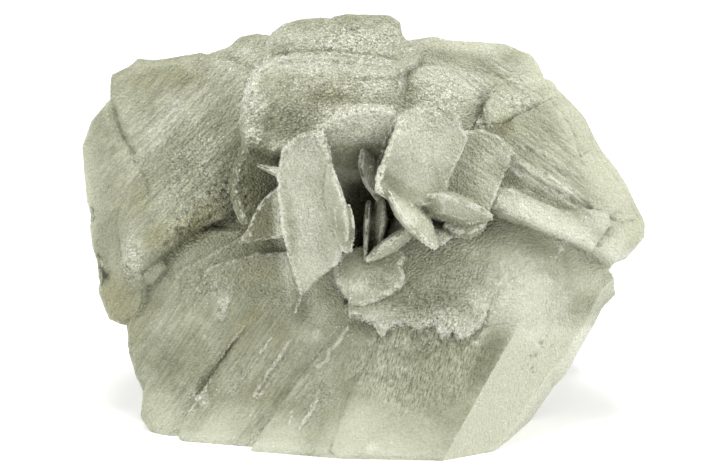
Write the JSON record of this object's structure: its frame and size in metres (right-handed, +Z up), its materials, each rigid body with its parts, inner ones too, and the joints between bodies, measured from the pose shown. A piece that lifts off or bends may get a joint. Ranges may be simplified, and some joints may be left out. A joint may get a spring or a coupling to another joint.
{
  "type": "selenite crystal cluster",
  "caption": "Free-standing cluster of thick frosted selenite slabs grown together round an open rose of small lens-shaped blades, on a flat broken base.",
  "frame": {"origin": "middle of the cluster's footprint box, on the plane it stands on", "axes": "+X to the right across the open rose, +Y away from the viewer who faces the rose, +Z up"},
  "size_m": [0.113, 0.0746, 0.0774],
  "materials": {
    "selenite": "frosted, sugary grain, translucent at thin edges"
  },
  "bodies": {
    "root": {"selenite_cluster": "selenite"}
  },
  "joints": []
}
